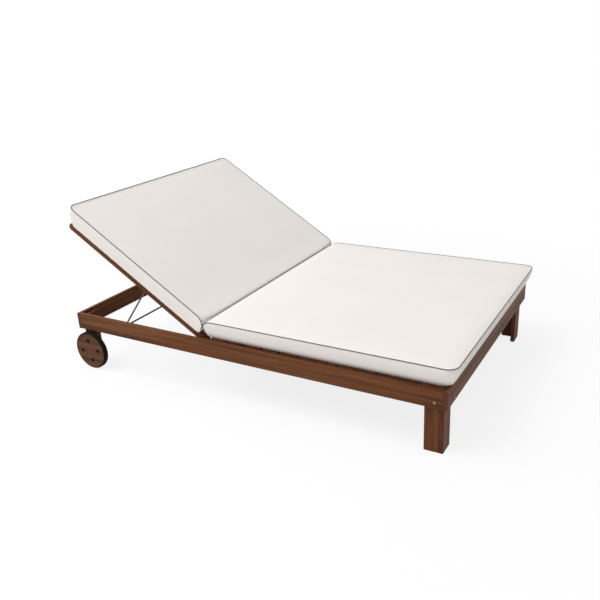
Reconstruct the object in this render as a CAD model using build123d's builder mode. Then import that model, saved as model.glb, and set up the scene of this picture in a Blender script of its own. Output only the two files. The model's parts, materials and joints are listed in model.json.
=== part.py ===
# Double chaise lounger: a low hardwood frame on two legs and two wheels, with a back that
# reclines on hinge pins, a steel stay that drops into notched cleats, and a pad in two parts.
# Millimetres. The origin is on the floor, midway along and across the lounger at rest.
# +X points to the foot, +Y to the left-hand side of someone lying on it, +Z up.
import os
from math import cos, radians, sin, sqrt

from build123d import *

# Frame
frame_length = 2000.0
frame_width = 1276.0
rail_top = 300.0
rail_height = 86.0
rail_thickness = 19.0
board_edge = 1.5
rail_edge = 3.5
overrun = 1.0

# Legs: two boards each, set in an L inside the rails
leg_thickness = 20.0
leg_width = 83.0
wheel_leg_drop = 36.0
wheel_leg_side_drop = 30.0

# Wheels and their axle bolts
wheel_radius = 101.0
wheel_width = 28.0
wheel_setback = 69.0
wheel_stand_out = 16.0
wheel_holes = 4
wheel_hole_radius = 11.0
wheel_hole_circle = 54.0
wheel_hole_turn = 6.0
tyre_depth = 8.0
tyre_inset = 2.0
tyre_round = 3.0
axle_radius = 6.0
running_gap = 0.05
side_play = 0.5
washer_radius = 13.0
axle_nut_radius = 10.0
axle_nut_height = 8.0
clip_radius = 10.0
clip_thickness = 1.5
axle_tail = 2.0
hub_cap_radius = 15.0
hub_cap_depth = 4.0
hub_recess = 10.0

# Back frame and its hinge
back_angle = 32.0
hinge_setback = 815.0
hinge_pin_radius = 5.0
hinge_pin_seat = 13.0
hinge_pin_tail = 3.0
stile_depth = 35.0
stile_thickness = 22.0
stile_gap = 6.0
stile_reach = 923.0
tenon_length = 10.0
tenon_shoulder = 3.0

# Slats
back_slat_count = 9
back_slat_gap = 27.1
back_slat_thickness = 12.0
back_slat_start = 40.0
back_slat_margin = 18.0
seat_slat_count = 12
seat_slat_gap = 8.0
seat_slat_thickness = 15.0
seat_start = 30.0
slat_end_gap = 1.0
ledger_thickness = 25.0
ledger_height = 28.0
bearer_thickness = 25.0
bearer_height = 60.0
hinge_rail_thickness = 22.0
hinge_rail_height = 70.0

# Stay: two bent arms welded to a crossbar, and the notched cleats it drops into
stay_pivot_reach = 409.0
stay_arm_length = 315.5
stay_lean = 52.3
arm_radius = 4.0
crossbar_radius = 4.5
crossbar_end_gap = 3.0
arm_bend = 10.0
arm_gap = 1.0
pivot_seat = 16.0
pivot_end_gap = 1.0
crossbar_lift = 0.6
cleat_thickness = 20.0
notch_radius = 5.5
notch_depth = 3.5
notch_count = 5
cleat_end = 26.0
cleat_leg_gap = 27.0

# Bolts through the foot legs
bolt_radius = 4.0
bolt_head_radius = 6.5
bolt_head_height = 3.0
bolt_head_round = 2.0
nut_radius = 7.0
nut_height = 6.0
bolt_drop = 60.0
side_bolt_setback = 53.0
end_bolt_setback = 78.0

# Pads
pad_side_overhang = 15.0
pad_thickness = 101.0
pad_foot_overhang = 35.0
pad_head_overhang = 14.0
pad_draw_in = 64.0
seat_corner_radius = 46.0
back_corner_radius = 24.0
fold_corner_radius = 22.0
fold_reach = 50.0
fold_drop = 28.0
pad_crown = 10.0
crown_reach_share = 0.36
soft_gap = 0.3
seat_pad_start = 18.4
back_pad_start = 35.4
side_height_shares = (0.0, 0.03, 0.08, 0.17, 0.3, 0.45, 0.6, 0.74, 0.84, 0.92, 0.975, 1.0)
side_inset_shares = (1.0, 0.75, 0.6, 0.43, 0.27, 0.15, 0.07, 0.02, 0.005, 0.0, 0.02, 0.05)
crown_height_shares = (0.0, 0.3, 0.62, 0.86, 1.0)
crown_inset_shares = (0.0, 0.12, 0.36, 0.66, 1.0)

# Places that follow from the sizes
half_width = frame_width / 2
wheel_overhang = wheel_radius - wheel_setback
head_x = wheel_overhang - (frame_length + wheel_overhang + pad_foot_overhang) / 2
foot_x = head_x + frame_length
rail_bottom = rail_top - rail_height
rail_inner = half_width - rail_thickness
rail_head = head_x + rail_thickness
rail_foot = foot_x - rail_thickness
leg_inner = rail_inner - leg_thickness
seat_slat_bottom = rail_top - seat_slat_thickness
wheel_x = head_x + wheel_setback
wheel_outer = half_width + wheel_stand_out
wheel_inner = wheel_outer - wheel_width
hinge_x = head_x + hinge_setback
hinge_z = rail_top - stile_depth / 2
stile_outer = rail_inner - stile_gap
stile_inner = stile_outer - stile_thickness
slat_low = stile_depth / 2 - back_slat_thickness
seat_head = hinge_x + seat_start
seat_foot = rail_foot - slat_end_gap
pad_half_width = half_width + pad_side_overhang
sides = {"right": -1, "left": 1}

# Directions of the raised back, seen from the side
back_rise = radians(back_angle)
back_along = Vector(-cos(back_rise), 0, sin(back_rise))
back_normal = Vector(sin(back_rise), 0, cos(back_rise))
hinge_point = Vector(hinge_x, 0, hinge_z)
back_plane = Plane(origin=hinge_point, x_dir=back_along, z_dir=back_normal)

# The stay: its pivot on the back and its crossbar in the cleats
stay_pivot = hinge_point + back_along * stay_pivot_reach
stay_fall = radians(stay_lean)
crossbar = stay_pivot + Vector(-cos(stay_fall), 0, -sin(stay_fall)) * stay_arm_length
arm_y = stile_inner - arm_bend - arm_gap
cleat_top = crossbar.Z - crossbar_radius - crossbar_lift


def span(side, inner, outer):
    """Low and high Y of a piece that runs from inner to outer on one side."""
    return sorted((side * inner, side * outer))


def side_view(y):
    """Sketch plane across the lounger at y: x to the foot, y up, normal to the right."""
    return Plane(origin=(0, y, 0), x_dir=(1, 0, 0), z_dir=(0, -1, 0))


def back_side_view(y):
    """Sketch plane at y that tilts with the back: x along it from the hinge, y off its face."""
    return Plane(origin=hinge_point + Vector(0, y, 0), x_dir=back_along, z_dir=(0, 1, 0))


def save(node, piece):
    """Write one finished piece under its node's name."""
    piece.part.label = node
    export_step(piece.part, f"parts/{node}.step")


def board(xs, ys, zs, plane=Plane.XY, edge=board_edge):
    """A planed board between three pairs of limits, with its long edges eased."""
    with BuildPart() as piece:
        with BuildSketch(plane.offset(zs[0])):
            with Locations(((xs[0] + xs[1]) / 2, (ys[0] + ys[1]) / 2)):
                Rectangle(xs[1] - xs[0], ys[1] - ys[0])
        extrude(amount=zs[1] - zs[0])
        fillet(piece.edges().group_by(SortBy.LENGTH)[-1], edge)
    return piece


def round_face(plane, place, radius, hole_radius=0):
    """A round face, or a ring with a hole in it, at one place on a plane."""
    with BuildSketch(plane) as face:
        with Locations(place):
            Circle(radius)
            if hole_radius:
                Circle(hole_radius, mode=Mode.SUBTRACT)
    return face.sketch


def slats(first, last, count, gap):
    """Limits of equal slats that fill the length from first to last, with a gap between each two."""
    pitch = (last - first + gap) / count
    return [(first + i * pitch, first + (i + 1) * pitch - gap) for i in range(count)]


def bore_across(x, z, radius, ys):
    """Cut a round hole across the open piece, from ys[0] to ys[1]."""
    extrude(round_face(side_view(ys[1]), (x, z), radius), amount=ys[1] - ys[0], mode=Mode.SUBTRACT)


def bore_along(y, z, radius, xs):
    """Cut a round hole lengthwise through the open piece, from xs[0] to xs[1]."""
    extrude(round_face(Plane.YZ.offset(xs[0]), (y, z), radius), amount=xs[1] - xs[0], mode=Mode.SUBTRACT)


def rod_across(x, z, radius, ys):
    """Add a round rod across the lounger to the open piece, from ys[0] to ys[1]."""
    extrude(round_face(side_view(ys[1]), (x, z), radius), amount=ys[1] - ys[0])


def ring_across(x, z, inner_radius, outer_radius, ys):
    """Add a washer or bush round a shaft to the open piece, from ys[0] to ys[1]."""
    extrude(round_face(side_view(ys[1]), (x, z), outer_radius, inner_radius), amount=ys[1] - ys[0])


# Sizes that several pieces share
bolt_z = rail_top - bolt_drop
side_bolt_x = foot_x - side_bolt_setback
end_bolt_y = half_width - end_bolt_setback
hinge_seat_y = rail_inner + hinge_pin_seat
foot_leg_xs = (rail_foot - leg_width, rail_foot)
wheel_leg_xs = (rail_head, rail_head + leg_width)
foot_leg_zs = (0, seat_slat_bottom)
wheel_leg_bottom = wheel_radius - wheel_leg_drop
wheel_leg_end_zs = (wheel_leg_bottom, seat_slat_bottom)
wheel_leg_side_zs = (wheel_leg_bottom, rail_top - wheel_leg_side_drop)
ledger_xs = (seat_head + hinge_rail_thickness, foot_leg_xs[0])
ledger_zs = (seat_slat_bottom - ledger_height, seat_slat_bottom)
back_slats = slats(back_slat_start, stile_reach - back_slat_margin, back_slat_count, back_slat_gap)
seat_slats = slats(seat_head, seat_foot, seat_slat_count, seat_slat_gap)
tenon_width = back_slats[0][1] - back_slats[0][0] - 2 * tenon_shoulder
cleat_head = wheel_leg_xs[1] + cleat_leg_gap
notch_pitch = (crossbar.X - cleat_head - cleat_end) / (notch_count - 1)
notch_places = [crossbar.X - i * notch_pitch for i in range(notch_count)]
cleat_xs = (cleat_head, crossbar.X + cleat_end)


def side_rail(side):
    """Side rail with the blind seat of the hinge pin and the hole of the leg bolt."""
    ys = span(side, rail_inner, half_width)
    piece = board((rail_head, rail_foot), ys, (rail_bottom, rail_top), edge=rail_edge)
    with BuildPart() as rail:
        add(piece.part)
        bore_across(hinge_x, hinge_z, hinge_pin_radius, span(side, rail_inner - overrun, hinge_seat_y))
        bore_across(side_bolt_x, bolt_z, bolt_radius, (ys[0] - overrun, ys[1] + overrun))
    return rail


def end_rail(xs, bolted):
    """Head or foot rail over the ends of the side rails, bolted to the legs at the foot."""
    piece = board(xs, (-half_width, half_width), (rail_bottom, rail_top), edge=rail_edge)
    with BuildPart() as rail:
        add(piece.part)
        if bolted:
            for side in sides.values():
                bore_along(side * end_bolt_y, bolt_z, bolt_radius, (xs[0] - overrun, xs[1] + overrun))
    return rail


def leg_side_board(side, xs, zs, shaft_x, shaft_z, shaft_radius):
    """Leg board against the side rail, with a hole for its bolt or for the axle."""
    ys = span(side, leg_inner, rail_inner)
    piece = board(xs, ys, zs)
    with BuildPart() as leg:
        add(piece.part)
        bore_across(shaft_x, shaft_z, shaft_radius, (ys[0] - overrun, ys[1] + overrun))
    return leg


def leg_end_board(side, xs, zs, bolted):
    """Leg board against the head or foot rail."""
    piece = board(xs, span(side, rail_inner - leg_width, rail_inner), zs)
    with BuildPart() as leg:
        add(piece.part)
        if bolted:
            bore_along(side * end_bolt_y, bolt_z, bolt_radius, (xs[0] - overrun, xs[1] + overrun))
    return leg


def leg_bolts():
    """Dome-headed bolts through the rails and the foot legs, with their nuts inside."""
    reach = rail_thickness + leg_thickness
    with BuildPart() as bolts:
        for side in sides.values():
            for plane in (
                Plane(origin=(side_bolt_x, side * half_width, bolt_z), z_dir=(0, side, 0)),
                Plane(origin=(foot_x, side * end_bolt_y, bolt_z), z_dir=(1, 0, 0)),
            ):
                with BuildSketch(plane):
                    Circle(bolt_head_radius)
                extrude(amount=bolt_head_height)
                fillet(bolts.edges(Select.LAST).sort_by_distance(plane.origin)[-1], bolt_head_round)
                with BuildSketch(plane):
                    Circle(bolt_radius)
                extrude(amount=-(reach + nut_height))
                with BuildSketch(plane.offset(-reach)):
                    RegularPolygon(nut_radius, 6)
                extrude(amount=-nut_height)
    return bolts


def hinge_pins():
    """Steel pins from their blind seats in the side rails through the stiles."""
    with BuildPart() as pins:
        for side in sides.values():
            ys = span(side, stile_inner - hinge_pin_tail, hinge_seat_y)
            rod_across(hinge_x, hinge_z, hinge_pin_radius, ys)
    return pins


def hinge_washers():
    """Spacing washers on the hinge pins, between the side rails and the stiles."""
    with BuildPart() as washers:
        for side in sides.values():
            ys = span(side, stile_outer + side_play, rail_inner)
            ring_across(hinge_x, hinge_z, hinge_pin_radius, washer_radius, ys)
    return washers


def cleat(side):
    """Notched cleat on the inner face of the side rail, for the ends of the crossbar."""
    ys = span(side, rail_inner - cleat_thickness, rail_inner)
    with BuildPart() as piece:
        with BuildSketch(side_view(ys[1])):
            with Locations(((cleat_xs[0] + cleat_xs[1]) / 2, (rail_bottom + cleat_top) / 2)):
                Rectangle(cleat_xs[1] - cleat_xs[0], cleat_top - rail_bottom)
            with Locations([(x, cleat_top + notch_radius - notch_depth) for x in notch_places]):
                Circle(notch_radius, mode=Mode.SUBTRACT)
        extrude(amount=ys[1] - ys[0])
    return piece


def axle_bolts():
    """Short steel axle through each wheel leg, with its nut on the inner face."""
    reach = wheel_outer - hub_recess + side_play + clip_thickness + axle_tail
    with BuildPart() as bolts:
        for side in sides.values():
            rod_across(wheel_x, wheel_radius, axle_radius, span(side, leg_inner, reach))
            with BuildSketch(Plane(origin=(wheel_x, side * leg_inner, wheel_radius), z_dir=(0, -side, 0))):
                RegularPolygon(axle_nut_radius, 6)
            extrude(amount=axle_nut_height)
    return bolts


def axle_washers():
    """Washers between the legs and the wheels, and the clips that keep the wheels on."""
    with BuildPart() as rings:
        for side in sides.values():
            ring_across(wheel_x, wheel_radius, axle_radius, washer_radius,
                        span(side, rail_inner, wheel_inner - side_play))
            clip_y = wheel_outer - hub_recess + side_play
            ring_across(wheel_x, wheel_radius, axle_radius, clip_radius,
                        span(side, clip_y, clip_y + clip_thickness))
    return rings


def wheel_disc(side):
    """Wooden wheel with four round holes, an axle bore and a recess for the hub cap."""
    ys = span(side, wheel_inner, wheel_outer)
    with BuildPart() as disc:
        with BuildSketch(side_view(ys[1])):
            with Locations((wheel_x, wheel_radius)):
                Circle(wheel_radius - tyre_depth)
                Circle(axle_radius + running_gap, mode=Mode.SUBTRACT)
                with PolarLocations(wheel_hole_circle, wheel_holes, start_angle=wheel_hole_turn):
                    Circle(wheel_hole_radius, mode=Mode.SUBTRACT)
        extrude(amount=wheel_width)
        recess_ys = span(side, wheel_outer - hub_recess, wheel_outer + overrun)
        bore_across(wheel_x, wheel_radius, hub_cap_radius, recess_ys)
    return disc


def tyre(side):
    """Rubber tyre let into the rim, with rounded shoulders."""
    ys = span(side, wheel_inner + tyre_inset, wheel_outer - tyre_inset)
    with BuildPart() as ring:
        ring_across(wheel_x, wheel_radius, wheel_radius - tyre_depth, wheel_radius, ys)
        outer = ring.edges().filter_by(GeomType.CIRCLE).group_by(SortBy.RADIUS)[-1]
        fillet(outer, tyre_round)
    return ring


def hub_cap(side):
    """Wooden cap that closes the hub recess, flush with the wheel's face."""
    with BuildPart() as cap:
        ys = span(side, wheel_outer - hub_cap_depth, wheel_outer)
        rod_across(wheel_x, wheel_radius, hub_cap_radius, ys)
    return cap


def stile(side):
    """Side member of the back, round at both ends, with mortises for the slats."""
    ys = span(side, stile_inner, stile_outer)
    end_radius = stile_depth / 2
    inner_face = side * stile_inner
    with BuildPart() as piece:
        with BuildSketch(back_side_view(ys[0])):
            with Locations(((stile_reach - end_radius) / 2, 0)):
                SlotCenterToCenter(stile_reach - end_radius, stile_depth)
        extrude(amount=stile_thickness)
        with BuildSketch(back_side_view(ys[0] - overrun)):
            Circle(hinge_pin_radius + running_gap)
        extrude(amount=stile_thickness + 2 * overrun, mode=Mode.SUBTRACT)
        with BuildSketch(back_side_view(inner_face)):
            with Locations((stay_pivot_reach, 0)):
                Circle(arm_radius + running_gap)
        extrude(amount=side * (pivot_seat + pivot_end_gap), mode=Mode.SUBTRACT)
        with BuildSketch(back_side_view(inner_face)):
            tenon_n = slat_low + back_slat_thickness / 2
            with Locations([((start + end) / 2, tenon_n) for start, end in back_slats]):
                Rectangle(tenon_width, back_slat_thickness - 2 * tenon_shoulder)
        extrude(amount=side * tenon_length, mode=Mode.SUBTRACT)
    return piece


def back_slat(start, end):
    """Slat across the back with a tenon at each end."""
    body = board((start, end), (-stile_inner, stile_inner),
                 (slat_low, slat_low + back_slat_thickness), back_plane)
    tenon_half = stile_inner + tenon_length
    with BuildPart() as slat:
        add(body.part)
        with BuildSketch(back_plane.offset(slat_low + tenon_shoulder)):
            with Locations(((start + end) / 2, 0)):
                Rectangle(tenon_width, 2 * tenon_half)
        extrude(amount=back_slat_thickness - 2 * tenon_shoulder)
    return slat


def centre_stile():
    """Middle member of the back, under the slats."""
    half = stile_thickness / 2
    ends = (back_slats[0][0], back_slats[-1][1])
    return board(ends, (-half, half), (-stile_depth / 2, slat_low), back_plane)


def stay_crossbar():
    """Round bar whose ends lie over the cleats."""
    reach = rail_inner - crossbar_end_gap
    with BuildPart() as bar:
        rod_across(crossbar.X, crossbar.Z, crossbar_radius, (-reach, reach))
    return bar


def stay_arm(side):
    """Bent arm: coped onto the crossbar below, turned outwards into the stile above."""
    pivot = stay_pivot + Vector(0, side * arm_y, 0)
    tip = stay_pivot + Vector(0, side * (stile_inner + pivot_seat), 0)
    foot = crossbar + Vector(0, side * arm_y, 0)
    along = (pivot - foot).normalized()
    bend_start = pivot - along * arm_bend
    bend_end = pivot + Vector(0, side * arm_bend, 0)
    bend_centre = bend_start + Vector(0, side * arm_bend, 0)
    middle = bend_centre + (pivot - bend_centre).normalized() * arm_bend
    with BuildPart() as arm:
        with BuildLine():
            Line(foot, bend_start)
            ThreePointArc(bend_start, middle, bend_end)
            Line(bend_end, tip)
        with BuildSketch(Plane(origin=foot, z_dir=along)):
            Circle(arm_radius)
        sweep()
        bore_across(crossbar.X, crossbar.Z, crossbar_radius, span(side, arm_y - arm_bend, arm_y + arm_bend))
    return arm


def pad_section(plane, start, end, inset, corner):
    """One level of a pad: a rectangle with its own corner radii at the fold and the far end."""
    half = pad_half_width - inset
    with BuildSketch(plane) as level:
        with Locations(((start + end) / 2, 0)):
            Rectangle(end - start, 2 * half)
        fillet(level.vertices().group_by(Axis.X)[0], fold_corner_radius)
        fillet(level.vertices().group_by(Axis.X)[-1], corner)
    return level.sketch.faces()[0]


def fold_inset(height, edge_inset):
    """How far the fold end stands back: drawn in below, turned over a quarter ellipse above."""
    rise_share = (height - (pad_thickness - fold_drop)) / fold_drop
    if rise_share <= 0:
        return edge_inset
    return fold_reach * (1 - sqrt(max(1 - rise_share**2, 0)))


def pad(plane, start, end, corner):
    """Box pad, rounded under its sides and ends and over its fold end, with a low crown."""
    box_levels = []
    for height_share, inset_share in zip(side_height_shares, side_inset_shares):
        height = height_share * pad_thickness
        inset = inset_share * pad_draw_in
        fold = start + fold_inset(height, inset)
        box_levels.append(pad_section(plane.offset(height), fold, end - inset, inset, corner))
    rim = side_inset_shares[-1] * pad_draw_in
    crown_reach = crown_reach_share * (end - start)
    crown_levels = []
    for height_share, inset_share in zip(crown_height_shares, crown_inset_shares):
        level = plane.offset(pad_thickness + height_share * pad_crown)
        inset = inset_share * crown_reach
        ends = (start + fold_reach + inset, end - rim - inset)
        crown_levels.append(pad_section(level, *ends, rim + inset, corner))
    with BuildPart() as cushion:
        loft(box_levels, ruled=True)
        loft(crown_levels, ruled=True)
    return cushion


os.makedirs("parts", exist_ok=True)

save("head_rail", end_rail((head_x, rail_head), False))
save("foot_rail", end_rail((rail_foot, foot_x), True))
save("hinge_rail", board(
    (seat_head, seat_head + hinge_rail_thickness), (-rail_inner, rail_inner),
    (seat_slat_bottom - hinge_rail_height, seat_slat_bottom)))
save("centre_bearer", board(
    (seat_head + hinge_rail_thickness, rail_foot), (-bearer_thickness / 2, bearer_thickness / 2),
    (seat_slat_bottom - bearer_height, seat_slat_bottom)))
save("leg_bolts", leg_bolts())
save("hinge_pins", hinge_pins())
save("hinge_washers", hinge_washers())
save("axle_bolts", axle_bolts())
save("axle_washers", axle_washers())

for name, side in sides.items():
    save(f"side_rail_{name}", side_rail(side))
    save(f"foot_leg_side_{name}", leg_side_board(
        side, (foot_leg_xs[0], foot_leg_xs[1] - leg_thickness), foot_leg_zs,
        side_bolt_x, bolt_z, bolt_radius))
    save(f"foot_leg_end_{name}", leg_end_board(
        side, (foot_leg_xs[1] - leg_thickness, foot_leg_xs[1]), foot_leg_zs, True))
    save(f"wheel_leg_side_{name}", leg_side_board(
        side, (wheel_leg_xs[0] + leg_thickness, wheel_leg_xs[1]), wheel_leg_side_zs,
        wheel_x, wheel_radius, axle_radius))
    save(f"wheel_leg_end_{name}", leg_end_board(
        side, (wheel_leg_xs[0], wheel_leg_xs[0] + leg_thickness), wheel_leg_end_zs, False))
    save(f"seat_ledger_{name}", board(
        ledger_xs, span(side, rail_inner - ledger_thickness, rail_inner), ledger_zs))
    save(f"cleat_{name}", cleat(side))
    save(f"wheel_{name}", wheel_disc(side))
    save(f"tyre_{name}", tyre(side))
    save(f"hub_cap_{name}", hub_cap(side))
    save(f"back_stile_{name}", stile(side))
    save(f"stay_arm_{name}", stay_arm(side))

save("back_centre_stile", centre_stile())
save("stay_crossbar", stay_crossbar())

for number, slat_xs in enumerate(seat_slats, 1):
    save(f"seat_slat_{number:02d}", board(
        slat_xs, (slat_end_gap - rail_inner, rail_inner - slat_end_gap), (seat_slat_bottom, rail_top)))

for number, (start, end) in enumerate(back_slats, 1):
    save(f"back_slat_{number:02d}", back_slat(start, end))

seat_pad_plane = Plane.XY.offset(rail_top + soft_gap)
back_pad_plane = back_plane.offset(stile_depth / 2 + soft_gap)
seat_pad_ends = (hinge_x + seat_pad_start, foot_x + pad_foot_overhang)
back_pad_ends = (back_pad_start, stile_reach + pad_head_overhang)
save("seat_cushion", pad(seat_pad_plane, *seat_pad_ends, seat_corner_radius))
save("back_cushion", pad(back_pad_plane, *back_pad_ends, back_corner_radius))
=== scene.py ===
"""Looks of the double chaise lounger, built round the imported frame. Lengths in metres, +X to the foot."""

import json
import math

import bpy
import numpy as np
from mathutils import Matrix, Vector, noise


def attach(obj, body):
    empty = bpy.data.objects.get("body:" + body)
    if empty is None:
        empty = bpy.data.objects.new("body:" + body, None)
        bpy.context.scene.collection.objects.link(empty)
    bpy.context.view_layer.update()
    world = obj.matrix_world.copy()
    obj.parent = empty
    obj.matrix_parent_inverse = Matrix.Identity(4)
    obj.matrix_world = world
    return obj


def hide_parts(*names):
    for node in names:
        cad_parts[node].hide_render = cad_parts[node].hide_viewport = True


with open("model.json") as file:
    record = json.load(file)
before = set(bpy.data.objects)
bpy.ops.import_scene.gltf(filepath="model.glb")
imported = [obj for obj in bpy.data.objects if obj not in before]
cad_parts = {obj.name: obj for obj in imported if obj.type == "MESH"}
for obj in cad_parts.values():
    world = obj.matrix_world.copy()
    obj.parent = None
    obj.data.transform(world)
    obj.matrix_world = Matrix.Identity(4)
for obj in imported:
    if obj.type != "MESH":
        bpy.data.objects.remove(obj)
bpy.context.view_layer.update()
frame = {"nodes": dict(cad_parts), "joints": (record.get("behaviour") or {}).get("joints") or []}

mm = 0.001
joints = {joint["name"]: joint for joint in frame["joints"]}
hinge_point = Vector(joints["back_recline"]["pos_m"])
back_rise = math.radians(32)
back_along = Vector((-math.cos(back_rise), 0, math.sin(back_rise)))
back_normal = Vector((math.sin(back_rise), 0, math.cos(back_rise)))


# Camera: the photograph's place, angle and tilt
camera_place = Vector((1.7259, -2.9369, 1.6556))
camera_turn = math.radians(30.78)
camera_height = math.radians(21.82)
camera_roll = math.radians(-3.02)
photo_width = 600
focal_pixels = 695.6

camera_back = Vector((math.sin(camera_turn) * math.cos(camera_height),
                      -math.cos(camera_turn) * math.cos(camera_height), math.sin(camera_height)))
level_right = Vector((0, 0, 1)).cross(camera_back).normalized()
level_up = camera_back.cross(level_right)
camera_right = level_right * math.cos(camera_roll) + level_up * math.sin(camera_roll)
camera_up = level_up * math.cos(camera_roll) - level_right * math.sin(camera_roll)
camera = bpy.data.objects.new("camera", bpy.data.cameras.new("camera"))
bpy.context.scene.collection.objects.link(camera)
camera.matrix_world = Matrix.Translation(camera_place) @ Matrix(
    (camera_right, camera_up, camera_back)).transposed().to_4x4()
camera.data.lens = focal_pixels * camera.data.sensor_width / photo_width
bpy.context.scene.camera = camera
bpy.context.scene.view_settings.view_transform = "Standard"


# Materials. The sockets of a colour Mix node share their names, so they go by number
mix_share, mix_first, mix_second, mix_result = 0, 6, 7, 2


def linear(hex_colour):
    """An sRGB hex colour as the linear colour that a socket takes."""
    shares = [int(hex_colour[i:i + 2], 16) / 255 for i in (1, 3, 5)]
    return (*[s / 12.92 if s <= 0.04045 else ((s + 0.055) / 1.055) ** 2.4 for s in shares], 1)


def add_node(tree, kind, inputs=None, **settings):
    """Add a node: settings are its own properties, and each input takes a value or a link from a socket."""
    made = tree.nodes.new(kind)
    for name, value in settings.items():
        setattr(made, name, value)
    for name, value in (inputs or {}).items():
        if isinstance(value, bpy.types.NodeSocket):
            tree.links.new(value, made.inputs[name])
        else:
            made.inputs[name].default_value = value
    return made


def start_finish(name, **sockets):
    """A new material with its shader's constant sockets set; returns it with its tree and shader."""
    material = bpy.data.materials.new(name)
    material.use_nodes = True
    shader = material.node_tree.nodes["Principled BSDF"]
    for socket, value in sockets.items():
        shader.inputs[socket.replace("_", " ")].default_value = value
    return material, material.node_tree, shader


def oiled_hardwood(name, grain, dark, light, red, worn, roughness=0.5, shade_spread=0.16):
    """Planed and oiled hardwood, its grain along one direction: broad bands, fine streaks and short
    open pores that run with the grain, a shade of its own for each board, and darker end grain."""
    material, tree, shader = start_finish(name, IOR=1.45, Specular_IOR_Level=0.1)
    place = add_node(tree, "ShaderNodeTexCoord")
    turn = Vector((1, 0, 0)).rotation_difference(Vector(grain)).inverted().to_euler()
    straight = add_node(tree, "ShaderNodeMapping", {"Vector": place.outputs["Object"], "Rotation": turn})
    board = add_node(tree, "ShaderNodeObjectInfo")
    apart = add_node(tree, "ShaderNodeVectorMath",
                     {0: board.outputs["Random"], 1: (7.0, 11.0, 13.0)}, operation="MULTIPLY")
    own = add_node(tree, "ShaderNodeVectorMath", {0: straight.outputs[0], 1: apart.outputs[0]})

    def figure(long_mm, across_mm, detail, rough):
        """Noise drawn out along the grain, with marks of this length and width."""
        scales = (1 / (long_mm * mm), 1 / (across_mm * mm), 1 / (across_mm * mm))
        stretched = add_node(tree, "ShaderNodeVectorMath", {0: own.outputs[0], 1: scales},
                             operation="MULTIPLY")
        return add_node(tree, "ShaderNodeTexNoise", {"Vector": stretched.outputs[0], "Scale": 1.0,
                                                     "Detail": detail, "Roughness": rough}).outputs[0]

    bands = figure(900, 26, 2.0, 0.5)
    streaks = figure(320, 4.5, 4.0, 0.65)
    pores = figure(26, 1.4, 1.0, 0.5)  # real pores are 0.3 mm wide; they are drawn coarser so that they show
    patches = figure(240, 60, 2.0, 0.5)

    band_share = add_node(tree, "ShaderNodeMapRange", {"Value": bands, "From Min": 0.34, "From Max": 0.66})
    colour = add_node(tree, "ShaderNodeMix", {mix_share: band_share.outputs[0], mix_first: linear(dark),
                                              mix_second: linear(light)}, data_type="RGBA")
    red_share = add_node(tree, "ShaderNodeMapRange",
                         {"Value": patches, "From Min": 0.45, "From Max": 0.75, "To Max": 0.55})
    colour = add_node(tree, "ShaderNodeMix", {mix_share: red_share.outputs[0],
                                              mix_first: colour.outputs[mix_result],
                                              mix_second: linear(red)}, data_type="RGBA")
    streak_shade = add_node(tree, "ShaderNodeMapRange", {"Value": streaks, "From Min": 0.25, "From Max": 0.75,
                                                         "To Min": 0.72, "To Max": 1.26})
    pore_shade = add_node(tree, "ShaderNodeMapRange", {"Value": pores, "From Min": 0.62, "From Max": 0.72,
                                                       "To Min": 1.0, "To Max": 0.62})
    board_shade = add_node(tree, "ShaderNodeMapRange", {"Value": board.outputs["Random"],
                                                        "To Min": 1 - shade_spread / 2,
                                                        "To Max": 1 + shade_spread / 2})
    shade = add_node(tree, "ShaderNodeMath", {0: streak_shade.outputs[0], 1: pore_shade.outputs[0]},
                     operation="MULTIPLY")
    shade = add_node(tree, "ShaderNodeMath", {0: shade.outputs[0], 1: board_shade.outputs[0]},
                     operation="MULTIPLY")
    colour = add_node(tree, "ShaderNodeVectorMath",
                      {0: colour.outputs[mix_result], "Scale": shade.outputs[0]}, operation="SCALE")

    facing = add_node(tree, "ShaderNodeVectorMath",
                      {0: place.outputs["Normal"], 1: Vector(grain).normalized()}, operation="DOT_PRODUCT")
    facing = add_node(tree, "ShaderNodeMath", {0: facing.outputs["Value"]}, operation="ABSOLUTE")
    end_share = add_node(tree, "ShaderNodeMapRange",
                         {"Value": facing.outputs[0], "From Min": 0.8, "From Max": 0.95})
    ring_places = add_node(tree, "ShaderNodeVectorMath", {0: own.outputs[0], "Scale": 1 / (3 * mm)},
                           operation="SCALE")
    rings = add_node(tree, "ShaderNodeTexNoise",
                     {"Vector": ring_places.outputs[0], "Scale": 1.0, "Detail": 3.0})
    end_colour = add_node(tree, "ShaderNodeMix", {mix_share: rings.outputs[0], mix_first: linear(dark),
                                                  mix_second: linear(worn)}, data_type="RGBA")
    colour = add_node(tree, "ShaderNodeMix", {mix_share: end_share.outputs[0], mix_first: colour.outputs[0],
                                              mix_second: end_colour.outputs[mix_result]}, data_type="RGBA")
    tree.links.new(colour.outputs[mix_result], shader.inputs["Base Color"])

    gloss = add_node(tree, "ShaderNodeMapRange", {"Value": streaks, "From Min": 0.2, "From Max": 0.8,
                                                  "To Min": roughness - 0.08, "To Max": roughness + 0.1})
    tree.links.new(gloss.outputs[0], shader.inputs["Roughness"])
    relief = add_node(tree, "ShaderNodeMath", {0: streaks, 1: pore_shade.outputs[0]}, operation="MULTIPLY")
    bump = add_node(tree, "ShaderNodeBump",
                    {"Height": relief.outputs[0], "Strength": 0.35, "Distance": 0.4 * mm})
    tree.links.new(bump.outputs[0], shader.inputs["Normal"])
    return material


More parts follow.
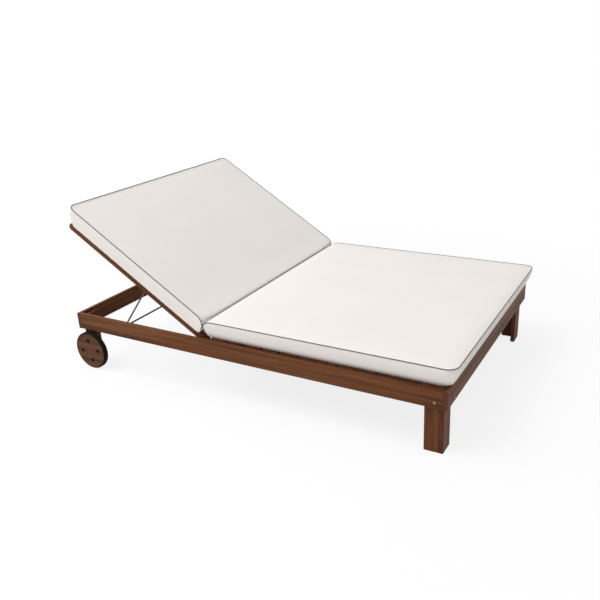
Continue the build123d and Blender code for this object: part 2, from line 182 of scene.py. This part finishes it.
def moulded_rubber():
    """Solid rubber tyre, moulded: near black with a dull grey bloom and a fine grain."""
    material, tree, shader = start_finish("moulded_black_rubber", IOR=1.52, Roughness=0.8,
                                          Specular_IOR_Level=0.1)
    place = add_node(tree, "ShaderNodeTexCoord")
    bloom = add_node(tree, "ShaderNodeTexNoise",
                     {"Vector": place.outputs["Object"], "Scale": 1 / (22 * mm), "Detail": 4.0})
    colour = add_node(tree, "ShaderNodeMix", {mix_share: bloom.outputs[0], mix_first: linear("#0F0B0C"),
                                              mix_second: linear("#211A1A")}, data_type="RGBA")
    tree.links.new(colour.outputs[mix_result], shader.inputs["Base Color"])
    grit = add_node(tree, "ShaderNodeTexNoise",
                    {"Vector": place.outputs["Object"], "Scale": 1 / (1.5 * mm), "Detail": 2.0})
    bump = add_node(tree, "ShaderNodeBump",
                    {"Height": grit.outputs[0], "Strength": 0.3, "Distance": 0.2 * mm})
    tree.links.new(bump.outputs[0], shader.inputs["Normal"])
    return material


def worn_metal(name, bright, dull, metallic, smooth, rough, mark_mm):
    """Steel with a plated or painted skin: patches where it has dulled differ in colour and gloss."""
    material, tree, shader = start_finish(name, Metallic=metallic)
    place = add_node(tree, "ShaderNodeTexCoord")
    marks = add_node(tree, "ShaderNodeTexNoise", {"Vector": place.outputs["Object"],
                                                  "Scale": 1 / (mark_mm * mm), "Detail": 5.0,
                                                  "Roughness": 0.6})
    share = add_node(tree, "ShaderNodeMapRange",
                     {"Value": marks.outputs[0], "From Min": 0.35, "From Max": 0.65})
    colour = add_node(tree, "ShaderNodeMix", {mix_share: share.outputs[0], mix_first: linear(bright),
                                              mix_second: linear(dull)}, data_type="RGBA")
    tree.links.new(colour.outputs[mix_result], shader.inputs["Base Color"])
    gloss = add_node(tree, "ShaderNodeMapRange",
                     {"Value": share.outputs[0], "To Min": smooth, "To Max": rough})
    tree.links.new(gloss.outputs[0], shader.inputs["Roughness"])
    bump = add_node(tree, "ShaderNodeBump",
                    {"Height": marks.outputs[0], "Strength": 0.2, "Distance": 0.15 * mm})
    tree.links.new(bump.outputs[0], shader.inputs["Normal"])
    return material


def woven_canvas(name, warp, weft, shade, thread_mm, along):
    """Outdoor canvas, plain weave of dyed yarn: matt, with a soft sheen at grazing angles, crossing
    threads, slubs, and broad soft blotches of painted shade that stand for the foam's shallow undulations
    under it."""
    material, tree, shader = start_finish(name, Roughness=0.9, IOR=1.45, Sheen_Weight=0.25,
                                          Sheen_Roughness=0.5)
    place = add_node(tree, "ShaderNodeTexCoord")
    turn = Vector((1, 0, 0)).rotation_difference(Vector(along)).inverted().to_euler()
    flat = add_node(tree, "ShaderNodeMapping", {"Vector": place.outputs["Object"], "Rotation": turn})
    waves_per_scale = 3.18  # a Wave node of scale 1 has this many bands to the unit
    threads = []
    for direction in ("X", "Y"):
        wave = add_node(tree, "ShaderNodeTexWave",
                        {"Vector": flat.outputs[0], "Scale": 1 / (thread_mm * mm) / waves_per_scale,
                         "Distortion": 0.6, "Detail": 1.0, "Detail Scale": 2.0},
                        wave_type="BANDS", bands_direction=direction, wave_profile="SIN")
        threads.append(wave.outputs[1])
    weave = add_node(tree, "ShaderNodeMath", {0: threads[0], 1: threads[1]}, operation="MULTIPLY")
    # painted shade: broad noise blotches that stand in for the shading of the foam's shallow undulations
    soft = add_node(tree, "ShaderNodeTexNoise",
                    {"Vector": flat.outputs[0], "Scale": 1 / (160 * mm), "Detail": 3.0})
    slub_scales = (1 / (40 * mm), 1 / (2 * mm), 1 / (2 * mm))
    slub_places = add_node(tree, "ShaderNodeVectorMath", {0: flat.outputs[0], 1: slub_scales},
                           operation="MULTIPLY")
    slubs = add_node(tree, "ShaderNodeTexNoise",
                     {"Vector": slub_places.outputs[0], "Scale": 1.0, "Detail": 2.0})
    colour = add_node(tree, "ShaderNodeMix", {mix_share: threads[0], mix_first: linear(weft),
                                              mix_second: linear(warp)}, data_type="RGBA")
    # painted shade: the blotches pull the cloth towards the darker shade colour in place of real undulation
    # shading; the slubs below use the same darker colour as a real yarn tone
    painted_undulation_shade = add_node(tree, "ShaderNodeMapRange",
                          {"Value": soft.outputs[0], "From Min": 0.35, "From Max": 0.7, "To Max": 0.14})
    colour = add_node(tree, "ShaderNodeMix", {mix_share: painted_undulation_shade.outputs[0],
                                              mix_first: colour.outputs[mix_result],
                                              mix_second: linear(shade)}, data_type="RGBA")
    slub_share = add_node(tree, "ShaderNodeMapRange",
                          {"Value": slubs.outputs[0], "From Min": 0.6, "From Max": 0.75, "To Max": 0.25})
    colour = add_node(tree, "ShaderNodeMix", {mix_share: slub_share.outputs[0],
                                              mix_first: colour.outputs[mix_result],
                                              mix_second: linear(shade)}, data_type="RGBA")
    tree.links.new(colour.outputs[mix_result], shader.inputs["Base Color"])
    relief = add_node(tree, "ShaderNodeMath", {0: weave.outputs[0], 1: slubs.outputs[0]}, operation="ADD")
    bump = add_node(tree, "ShaderNodeBump",
                    {"Height": relief.outputs[0], "Strength": 0.25, "Distance": 0.3 * mm})
    tree.links.new(bump.outputs[0], shader.inputs["Normal"])
    return material


# The wood is one stained tropical hardwood, cut with its grain along each board: warm red-brown
stain = {"dark": "#4E2D1A", "light": "#754B2F", "red": "#6F3E25", "worn": "#6A402B"}
board_grains = {
    "lengthwise": (1, 0, 0),
    "crosswise": (0, 1, 0),
    "upright": (0, 0, 1),
    "raised": tuple(back_along),
}
hardwood = {lie: oiled_hardwood(f"oiled_hardwood_{lie}", grain, **stain)
            for lie, grain in board_grains.items()}
# The wheels' wood: the same stain, duller and rougher from weather
wheel_wood = oiled_hardwood("turned_weathered_hardwood", (1, 0, 0), "#472B1E", "#6E4936", "#633B29",
                            "#543526", roughness=0.62)
# The tyres: a soft black rim
rubber = moulded_rubber()
# Pins, washers and axle bolts: light grey metal with a soft gleam
zinc_steel = worn_metal("zinc_plated_steel", "#D8CFC8", "#A79C94", 1.0, 0.28, 0.45, 6)
# The leg bolts: warm coppery heads that stand out on the wood
bronzed_steel = worn_metal("bronzed_steel", "#B08670", "#7E5846", 1.0, 0.35, 0.5, 6)
# The stay: thin lines of green-black paint with a low gloss
stay_steel = worn_metal("green_black_painted_steel", "#252B28", "#39403B", 0.0, 0.35, 0.5, 12)

lies = {
    "lengthwise": ["side_rail", "seat_ledger", "cleat", "centre_bearer"],
    "crosswise": ["head_rail", "foot_rail", "hinge_rail", "seat_slat", "back_slat"],
    "upright": ["foot_leg", "wheel_leg"],
    "raised": ["back_stile", "back_centre_stile"],
}
finishes = {start: hardwood[lie] for lie, starts in lies.items() for start in starts}
finishes.update({"wheel_right": wheel_wood, "wheel_left": wheel_wood, "hub_cap": wheel_wood, "tyre": rubber,
                 "leg_bolts": bronzed_steel, "hinge_pins": zinc_steel, "hinge_washers": zinc_steel,
                 "axle_bolts": zinc_steel, "axle_washers": zinc_steel, "stay": stay_steel})
for node, piece in frame["nodes"].items():
    if node.endswith("cushion"):
        continue
    finish = next(material for start, material in finishes.items() if node.startswith(start))
    piece.data.materials.clear()
    piece.data.materials.append(finish)


# Pads. Each is a box of grid points bent into shape: u from the fold to the far end, v across, w up.
# corner is the far corners' radius, draw_in how far the underside stands in from the seam, fold the
# reach and drop of the turned edge, foot the radius of the edge under it and how far that spreads
seat_form = {"corner": 46 * mm, "draw_in": 52 * mm, "fold": (50 * mm, 28 * mm), "foot": (14 * mm, 10 * mm)}
back_form = {"corner": 36 * mm, "draw_in": 30 * mm, "fold": (9 * mm, 14 * mm), "foot": (32 * mm, 0)}
fold_at_side = (50 * mm, 36 * mm)
fold_side_zone = 45 * mm
foot_height = 30 * mm
draw_in_power = 1.5
end_draw_share = 0.7
seam_draw_in = 4 * mm
seam_band = 0.25
rim_crown, rim_zone = 3.5 * mm, 18 * mm
middle_crown, middle_zone = 3 * mm, 240 * mm
crown_fold_zone = 120 * mm
crown_room = 10 * mm

pucker_length = 34 * mm
pucker_depth = 2.2 * mm
pucker_down, pucker_in, pucker_start = 22 * mm, 26 * mm, 8 * mm
piping_radius = 2.1 * mm

pad_cell = 14 * mm
side_cell = 11 * mm
edge_cell = 8 * mm
edge_zone = 48 * mm

cover_steps = 20
top_swell = 5 * mm
side_swell = 4 * mm
fold_swell, swell_growth = 0.2 * mm, 0.05


def lines_along(length):
    """Places of the grid lines along one side of a pad, closer together near both ends."""
    fine = np.linspace(0, edge_zone, round(edge_zone / edge_cell) + 1)
    middle = np.linspace(edge_zone, length - edge_zone, round((length - 2 * edge_zone) / pad_cell) + 1)
    return np.concatenate([fine, middle[1:-1], length - fine[::-1]])


def rounded(x, y, reach_x, reach_y):
    """Bend the square corner of a grid (x and y from 0 to their reach) into a quarter ellipse."""
    dx, dy = x / reach_x, y / reach_y
    inside = (dx > 0) & (dy > 0)
    dx, dy = np.maximum(dx, 0), np.maximum(dy, 0)
    share = np.where(inside, np.maximum(dx, dy) / np.maximum(np.hypot(dx, dy), 1e-9), 1)
    return np.where(inside, dx * share * reach_x, x), np.where(inside, dy * share * reach_y, y)


def rise(distance, reach):
    """From 0 at a seam to 1 well away from it."""
    return 1 - np.exp(-np.maximum(distance, 0) / reach)


def puckers(u, v):
    """How deep the stitching pulls the cover at each point, from 0 to 1."""
    return np.array([max(0, noise.noise(Vector((a, b, 0)) / pucker_length)) for a, b in zip(u, v)])


def pad_form(points, length, half, height, corner, draw_in, fold, foot):
    """Bend a plain box of points into the pad: round at the fold, round corners at the far end,
    sides that roll under below and draw in a little at the seam, and a low crown."""
    u, v, w = points.T
    inner_share = rise(half - np.abs(v), fold_side_zone)
    reach, drop = [at_side + (inner - at_side) * inner_share for at_side, inner in zip(fold_at_side, fold)]
    near_u, near_w = rounded(reach - u, w - (height - drop), reach, drop)
    u, w = reach - near_u, height - drop + near_w
    radius, spread = foot
    low_u, low_w = rounded(radius - u, radius - w, radius, radius)
    u, w = radius - low_u, radius - low_w
    u = u - spread * np.exp(-w / foot_height) * np.clip(1 - u / edge_zone, 0, 1)
    side = np.sign(v)
    far_u, far_v = rounded(u - (length - corner), np.abs(v) - (half - corner), corner, corner)
    u, v = length - corner + far_u, side * (half - corner + far_v)

    up = w / height
    inset = draw_in * np.clip(1 - up, 0, 1) ** draw_in_power
    inset += seam_draw_in * np.maximum((up - (1 - seam_band)) / seam_band, 0) ** 2
    pull = pucker_depth * puckers(u, v)
    inset += pull * np.exp((w - height) / pucker_down) * np.clip(u / edge_zone, 0, 1)
    side_room, end_room = half - np.abs(v), length - u
    rim_room = np.minimum(side_room, end_room)
    crown = (rim_crown * rise(side_room, rim_zone) * rise(end_room, rim_zone)
             + middle_crown * rise(side_room, middle_zone) * rise(end_room, middle_zone))
    crown = crown * rise(u, crown_fold_zone)
    crown -= pull * np.exp(-rim_room / pucker_in) * rise(rim_room, pucker_start)
    w = w * (1 + crown / height)
    v = v * (1 - inset / half)
    u = u * (1 - end_draw_share * inset / length)
    return np.column_stack([u, v, w])


def pad_grid(length, half, height):
    """Points of a box's surface on a grid, its faces, and the rows that the seam follows."""
    us, vs = lines_along(length), lines_along(2 * half) - half
    ws = np.linspace(0, height, round(height / side_cell) + 1)
    last = (len(us) - 1, len(vs) - 1, len(ws) - 1)
    index, points = {}, []

    def point(i, j, k):
        """Number of the grid point, made once."""
        if (i, j, k) not in index:
            index[i, j, k] = len(points)
            points.append((us[i], vs[j], ws[k]))
        return index[i, j, k]

    faces = []
    for fixed in range(3):
        a, b = [axis for axis in range(3) if axis != fixed]
        for end in (0, last[fixed]):
            for p in range(last[a]):
                for q in range(last[b]):
                    corners = []
                    for da, db in ((0, 0), (1, 0), (1, 1), (0, 1)):
                        place = [0, 0, 0]
                        place[fixed], place[a], place[b] = end, p + da, q + db
                        corners.append(point(*place))
                    faces.append(corners)
    seam = [point(0, 0, k) for k in range(last[2])]
    seam += [point(i, 0, last[2]) for i in range(last[0])]
    seam += [point(last[0], j, last[2]) for j in range(last[1])]
    seam += [point(i, last[1], last[2]) for i in range(last[0], 0, -1)]
    seam += [point(0, last[1], k) for k in range(last[2], -1, -1)]
    return np.array(points), faces, seam


def swell(piece, pinned, allowance):
    """Inflate a pad's cover like foam in a sewn bag: pinned at its seams, and held to its allowance."""
    rest = np.array([v.co for v in piece.data.vertices])
    group = piece.vertex_groups.new(name="sewn")
    group.add([int(i) for i in pinned], 1.0, "REPLACE")
    cover = piece.modifiers.new("cover", "CLOTH")
    cover.settings.vertex_group_mass = "sewn"
    cover.settings.quality = 4
    cover.settings.mass = 0.3
    cover.settings.tension_stiffness = 20
    cover.settings.compression_stiffness = 20
    cover.settings.bending_stiffness = 3
    cover.settings.use_pressure = True
    cover.settings.uniform_pressure_force = 4
    cover.settings.effector_weights.gravity = 0
    for step in range(1, cover_steps + 1):
        bpy.context.scene.frame_set(step)
    swollen = piece.evaluated_get(bpy.context.evaluated_depsgraph_get())
    blown = np.array([v.co for v in swollen.data.vertices])
    piece.modifiers.remove(cover)
    bpy.context.scene.frame_set(1)
    moved = blown - rest
    far = np.linalg.norm(moved, axis=1)
    held = allowance * np.tanh(far / np.maximum(allowance, 1e-6))
    moved *= (held / np.maximum(far, 1e-9))[:, None]
    piece.data.vertices.foreach_set("co", (rest + moved).astype(np.float32).ravel())
    piece.data.update()


def sew_piping(name, seam_line, body):
    """Lay a cord of piping along a pad's seam."""
    line = bpy.data.curves.new(f"{name}_piping", "CURVE")
    line.dimensions = "3D"
    line.bevel_depth = piping_radius
    line.bevel_resolution = 3
    line.use_fill_caps = True
    spline = line.splines.new("POLY")
    spline.points.add(len(seam_line) - 1)
    for spot, place in zip(spline.points, seam_line):
        spot.co = (*place, 1)
    drawn = bpy.data.objects.new(f"{name}_piping_line", line)
    cord = bpy.data.meshes.new_from_object(drawn)
    bpy.data.objects.remove(drawn)
    cord.polygons.foreach_set("use_smooth", [True] * len(cord.polygons))
    cord.materials.clear()
    cord.materials.append(piping_canvas)
    piping = bpy.data.objects.new(f"{name}_piping", cord)
    bpy.context.scene.collection.objects.link(piping)
    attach(piping, body)


def sew_pad(name, node, along, up, form, body):
    """Make the pad that a plain solid stands for, with its piping, and let both ride on one body."""
    across = Vector((0, 1, 0))
    reach = np.array([[(v.co - hinge_point).dot(axis) for axis in (along, across, up)]
                      for v in frame["nodes"][node].data.vertices])
    low, high = reach.min(0), reach.max(0)
    length, half, crown_top = high[0] - low[0], high[1], high[2] - low[2]
    height = crown_top - crown_room
    points, faces, seam = pad_grid(length, half, height)
    local = pad_form(points, length, half, height, **form)
    axes = np.array([along, across, up])
    base = np.array(hinge_point) + low[0] * axes[0] + low[2] * axes[2]
    mesh = bpy.data.meshes.new(name)
    mesh.from_pydata((base + local @ axes).tolist(), [], faces)
    mesh.update()
    piece = bpy.data.objects.new(name, mesh)
    bpy.context.scene.collection.objects.link(piece)
    bottom = np.flatnonzero(points[:, 2] == 0)
    allowance = np.where(points[:, 2] > height - 1e-6, top_swell, side_swell)
    allowance = np.minimum(allowance, fold_swell + swell_growth * points[:, 0])
    swell(piece, np.union1d(bottom, seam), allowance)

    seam_pairs = {tuple(sorted(pair)) for pair in zip(seam, seam[1:])}
    crease = mesh.attributes.new("crease_edge", "FLOAT", "EDGE")
    sharp = mesh.attributes.new("sharp_edge", "BOOLEAN", "EDGE")
    for edge in mesh.edges:
        if tuple(sorted(edge.vertices)) in seam_pairs:
            crease.data[edge.index].value = 0.9
            sharp.data[edge.index].value = True
    mesh.polygons.foreach_set("use_smooth", [True] * len(mesh.polygons))
    smooth = piece.modifiers.new("smooth", "SUBSURF")
    smooth.levels = 1
    finished = bpy.data.meshes.new_from_object(piece.evaluated_get(bpy.context.evaluated_depsgraph_get()))
    seam_line = [Vector(finished.vertices[i].co) for i in seam]
    piece.modifiers.clear()
    piece.data = finished
    if np.linalg.det(axes) < 0:
        finished.flip_normals()
    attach(piece, body)
    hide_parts(node)
    # The cover: warm off-white cloth, its threads drawn coarser than the real 0.5 mm so that they show
    piece.data.materials.append(woven_canvas(f"{name}_off_white_canvas", "#F4EFEA", "#ECE6E0", "#E3DBD4",
                                             1.6, along))
    sew_piping(name, seam_line, body)


# The piping: a thin charcoal line that draws each seam
piping_canvas = woven_canvas("charcoal_piping_canvas", "#4C4641", "#403B37", "#33302D", 1.2, (1, 0, 0))
sew_pad("seat_pad", "seat_cushion", Vector((1, 0, 0)), Vector((0, 0, 1)), seat_form, "base")
sew_pad("back_pad", "back_cushion", back_along, back_normal, back_form, "back")


# Studio: a pale floor that fades into white, white all round for the camera, and soft light
seen_level = 1.0


def seen_rays(tree):
    """1 for the rays that show a thing to the viewer, 0 for those that carry light to other things."""
    ray = add_node(tree, "ShaderNodeLightPath")
    seen = ray.outputs["Is Camera Ray"]
    for kind in ("Is Glossy Ray", "Is Transmission Ray"):
        more = add_node(tree, "ShaderNodeMath", {0: seen, 1: ray.outputs[kind]}, operation="MAXIMUM")
        seen = more.outputs[0]
    return seen


world = bpy.data.worlds.new("white_studio")
world.use_nodes = True
sky = world.node_tree
sky.nodes.clear()
fill_light = add_node(sky, "ShaderNodeBackground", {"Color": linear("#FFFFFF"), "Strength": 0.4})
white = add_node(sky, "ShaderNodeBackground", {"Color": linear("#FFFFFF"), "Strength": seen_level})
either = add_node(sky, "ShaderNodeMixShader",
                  {0: seen_rays(sky), 1: fill_light.outputs[0], 2: white.outputs[0]})
add_node(sky, "ShaderNodeOutputWorld", {"Surface": either.outputs[0]})
bpy.context.scene.world = world

floor_half = 14.0
floor_corners = [(x * floor_half, y * floor_half, 0) for x, y in ((-1, -1), (1, -1), (1, 1), (-1, 1))]
floor_mesh = bpy.data.meshes.new("floor")
floor_mesh.from_pydata(floor_corners, [], [(0, 1, 2, 3)])
floor = bpy.data.objects.new("floor", floor_mesh)
bpy.context.scene.collection.objects.link(floor)
floor_paint, paint, matt = start_finish("matt_white_floor_paint", Roughness=0.9)
matt.inputs["Base Color"].default_value = linear("#FAFAFA")
spot = add_node(paint, "ShaderNodeTexCoord")
away = add_node(paint, "ShaderNodeVectorMath", {0: spot.outputs["Object"]}, operation="LENGTH")
# The floor shows its shadow near the lounger and fades into the white around it from 1.3 to 3 m away
fade = add_node(paint, "ShaderNodeMapRange",
                {"Value": away.outputs["Value"], "From Min": 1.3, "From Max": 3.0, "To Min": 0.84,
                 "To Max": 1.0}, interpolation_type="SMOOTHSTEP")
share = add_node(paint, "ShaderNodeMath", {0: fade.outputs[0], 1: seen_rays(paint)}, operation="MULTIPLY")
glow = add_node(paint, "ShaderNodeEmission", {"Color": linear("#FFFFFF"), "Strength": seen_level})
mixed = add_node(paint, "ShaderNodeMixShader", {0: share.outputs[0], 1: matt.outputs[0], 2: glow.outputs[0]})
paint.links.new(mixed.outputs[0], paint.nodes["Material Output"].inputs["Surface"])
floor_mesh.materials.append(floor_paint)

lamp_place = Vector((-3.85, -3.6, 9.65))
lamp_target = Vector((0, 0, 0.3))
lamp = bpy.data.lights.new("overhead_softbox", "AREA")
lamp.shape = "SQUARE"
lamp.size = 8
lamp.energy = 1000
softbox = bpy.data.objects.new("overhead_softbox", lamp)
bpy.context.scene.collection.objects.link(softbox)
softbox.matrix_world = (Matrix.Translation(lamp_place)
                        @ (lamp_target - lamp_place).to_track_quat("-Z", "Y").to_matrix().to_4x4())
